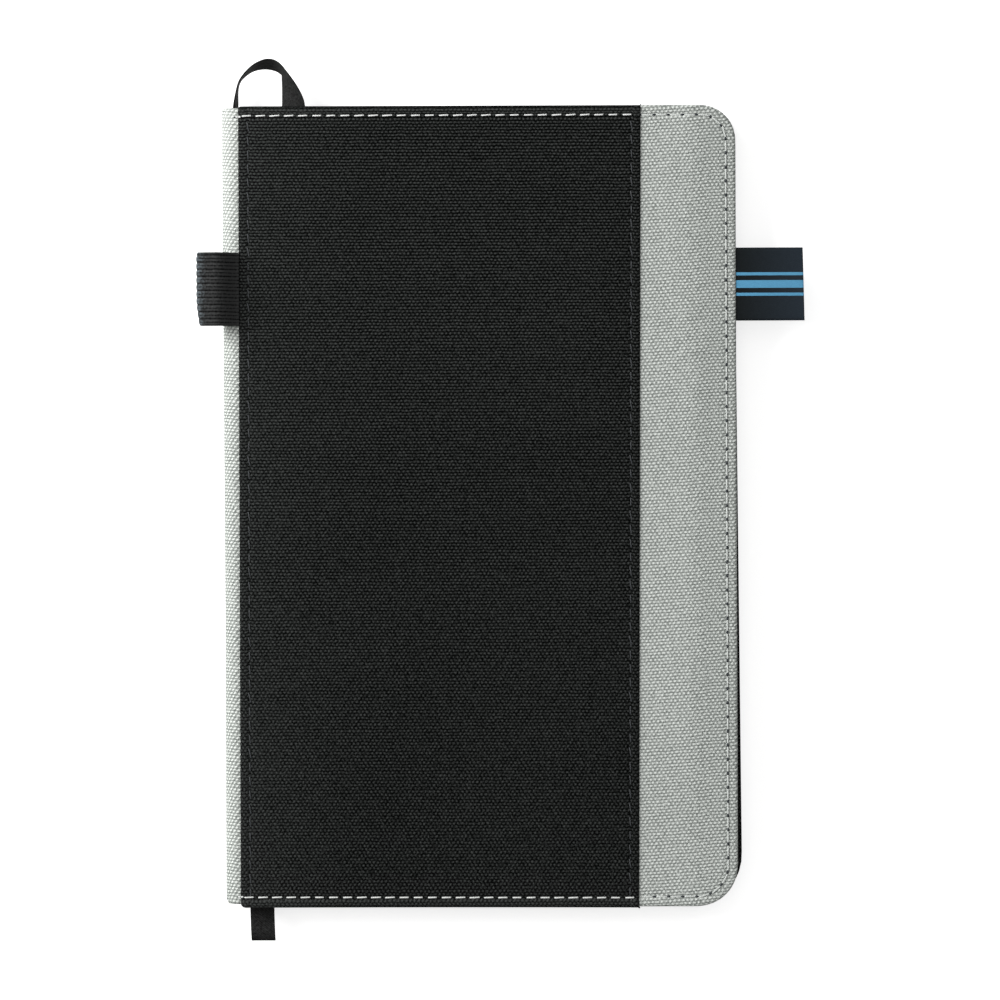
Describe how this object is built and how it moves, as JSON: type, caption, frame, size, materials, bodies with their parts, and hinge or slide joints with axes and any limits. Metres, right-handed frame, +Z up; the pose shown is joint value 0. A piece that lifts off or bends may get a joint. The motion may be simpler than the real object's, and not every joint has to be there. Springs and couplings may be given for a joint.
{
  "type": "pocket notebook",
  "caption": "Soft canvas-covered notebook with a black panel, a grey fore-edge band, an elastic pen loop, a side label and a ribbon marker; the covers and the text block open.",
  "frame": {"origin": "middle of the back cover's flat underside, on the surface the notebook rests on", "axes": "+X from the spine to the fore-edge, +Y from the foot to the head, +Z up through the front cover"},
  "size_m": [0.1637, 0.2388, 0.0217],
  "materials": {
    "black_canvas": "dull plain-woven black canvas",
    "grey_canvas": "plain-woven light grey canvas, slightly mottled",
    "cover_board": "thin grey-brown bookbinding board",
    "endpaper": "uncoated off-white endpaper",
    "page_paper": "uncoated ivory writing paper, cut edges",
    "mull_cloth": "open-weave glued lining cloth",
    "satin_ribbon": "narrow dark satin ribbon",
    "elastic_webbing": "black ribbed elastic webbing with a slight sheen",
    "label_weave": "navy damask weave with plain blue stripes"
  },
  "bodies": {
    "back_cover": {"back_board": "cover_board", "back_canvas": "black_canvas", "back_pastedown": "endpaper", "back_spine_strip": "grey_canvas", "back_flyleaf": "endpaper", "section_5": "page_paper", "section_6": "page_paper", "section_7": "page_paper", "section_8": "page_paper", "spine_mull_back": "mull_cloth", "ribbon_marker": "satin_ribbon"},
    "front_pages": {"front_flyleaf": "endpaper", "section_1": "page_paper", "section_2": "page_paper", "section_3": "page_paper", "section_4": "page_paper", "spine_mull_front": "mull_cloth"},
    "spine": {"spine_canvas": "grey_canvas", "spine_stiffener": "cover_board"},
    "front_joint": {"front_spine_strip": "grey_canvas", "pen_loop": "elastic_webbing"},
    "front_cover": {"front_board": "cover_board", "front_black_panel": "black_canvas", "front_grey_panel": "grey_canvas", "front_pastedown": "endpaper"},
    "label": {"woven_label": "label_weave"}
  },
  "joints": [
    {"name": "open_at_middle", "type": "hinge", "parent": "back_cover", "child": "front_pages", "pos_m": [-0.0668, 0, 0.0075], "axis": [0, -1, 0], "range_deg": [0, 180]},
    {"name": "spine_fold", "type": "hinge", "parent": "back_cover", "child": "spine", "pos_m": [-0.069, 0, 0], "axis": [0, -1, 0], "range_deg": [0, 90]},
    {"name": "joint_fold", "type": "hinge", "parent": "spine", "child": "front_joint", "pos_m": [-0.069, 0, 0.015], "axis": [0, -1, 0], "range_deg": [0, 90]},
    {"name": "front_cover_open", "type": "hinge", "parent": "front_joint", "child": "front_cover", "pos_m": [-0.065, 0, 0.01515], "axis": [0, -1, 0], "range_deg": [0, 120]},
    {"name": "label_flip", "type": "hinge", "parent": "front_cover", "child": "label", "pos_m": [0.0696, 0.05965, 0.0135], "axis": [0, -1, 0], "range_deg": [-45, 90], "stiffness_Nm_per_rad": 0.0005}
  ],
  "couplings": [
    {"joint": "spine_fold", "follows": "open_at_middle", "ratio": 0.5},
    {"joint": "joint_fold", "follows": "open_at_middle", "ratio": 0.5}
  ]
}
